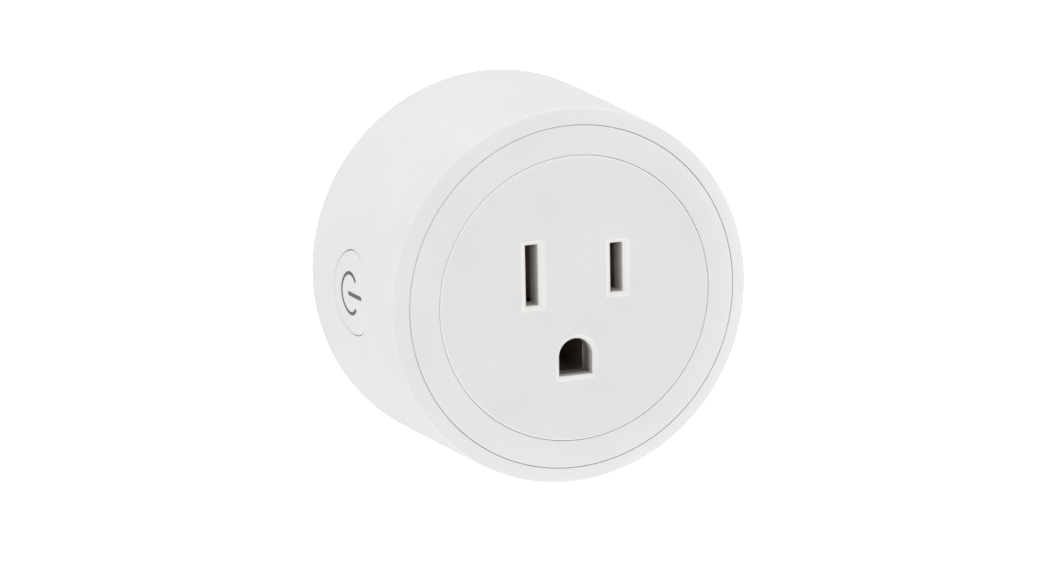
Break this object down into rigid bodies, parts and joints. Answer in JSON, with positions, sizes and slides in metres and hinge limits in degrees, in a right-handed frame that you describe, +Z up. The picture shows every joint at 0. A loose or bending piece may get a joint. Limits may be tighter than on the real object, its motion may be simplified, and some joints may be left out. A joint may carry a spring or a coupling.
{
  "type": "smart plug",
  "caption": "Round wall-plug adapter with a grounded two-slot socket in front, a side power button and grounded prongs behind.",
  "frame": {"origin": "centre of the flat rear face that rests on the wall plate", "axes": "+Y into the wall, along the prongs; +Z up; +X to the right of someone who faces the socket"},
  "size_m": [0.0564, 0.054, 0.0564],
  "materials": {
    "white_shell": "satin moulded white",
    "white_face": "satin moulded white, slightly greyer",
    "white_button": "satin moulded white",
    "insulator": "matte moulded",
    "prong_metal": "bright nickel-plated brass",
    "contact_brass": "plain spring brass",
    "circuit_board": "green solder mask",
    "relay_plastic": "semi-gloss",
    "bobbin_plastic": "matte",
    "copper_wire": "enamelled copper",
    "steel": "bright",
    "capacitor_sleeve": "shrink sleeve",
    "film_box": "semi-gloss",
    "varistor_coat": "dipped coat",
    "resistor_coat": "lacquer",
    "ferrite": "dull sintered",
    "chip": "moulded epoxy",
    "led_lens": "clear lens"
  },
  "bodies": {
    "housing": {"barrel_shell": "white_shell", "board_header": "chip", "board_screw_1": "steel", "board_screw_2": "steel", "bridge_rectifier": "chip", "carrier_screw_1": "steel", "carrier_screw_2": "steel", "choke_core": "ferrite", "choke_winding": "copper_wire", "contact_carrier": "insulator", "contact_retainer": "insulator", "control_board": "circuit_board", "film_capacitor": "film_box", "front_ring": "white_shell", "fuse_resistor": "resistor_coat", "ground_contact": "contact_brass", "ground_pin": "prong_metal", "input_capacitor_1": "capacitor_sleeve", "input_capacitor_2": "capacitor_sleeve", "line_blade": "prong_metal", "line_contact": "contact_brass", "logic_regulator": "chip", "main_board": "circuit_board", "neutral_blade": "prong_metal", "neutral_contact": "contact_brass", "output_capacitor": "capacitor_sleeve", "power_regulator": "chip", "radio_board": "circuit_board", "radio_chip": "chip", "rear_cover": "white_shell", "relay_base": "relay_plastic", "relay_bobbin": "bobbin_plastic", "relay_case": "relay_plastic", "relay_core": "steel", "relay_driver": "chip", "relay_fixed_contact": "contact_brass", "relay_winding": "copper_wire", "relay_yoke": "steel", "shield_can": "steel", "socket_face": "white_face", "status_led": "led_lens", "switch_body": "chip", "switch_plate": "steel", "varistor": "varistor_coat"},
    "button": {"button_cap": "white_button"},
    "plunger": {"switch_plunger": "chip"},
    "armature": {"relay_armature": "steel", "relay_moving_contact": "contact_brass"}
  },
  "joints": [
    {"name": "button_press", "type": "slide", "parent": "housing", "child": "button", "axis": [1, 0, 0], "range_m": [0, 0.0006], "stiffness_N_per_m": 3000, "springref_m": -0.0002},
    {"name": "plunger_travel", "type": "slide", "parent": "housing", "child": "plunger", "axis": [1, 0, 0], "range_m": [0, 0.0006]},
    {"name": "armature_pivot", "type": "hinge", "parent": "housing", "child": "armature", "pos_m": [0.0169, -0.0237, -0.0075], "axis": [-1, 0, 0], "range_deg": [0, 3.5], "stiffness_Nm_per_rad": 0.01, "springref_deg": -11.46}
  ],
  "couplings": [
    {"joint": "plunger_travel", "follows": "button_press", "ratio": 1}
  ]
}
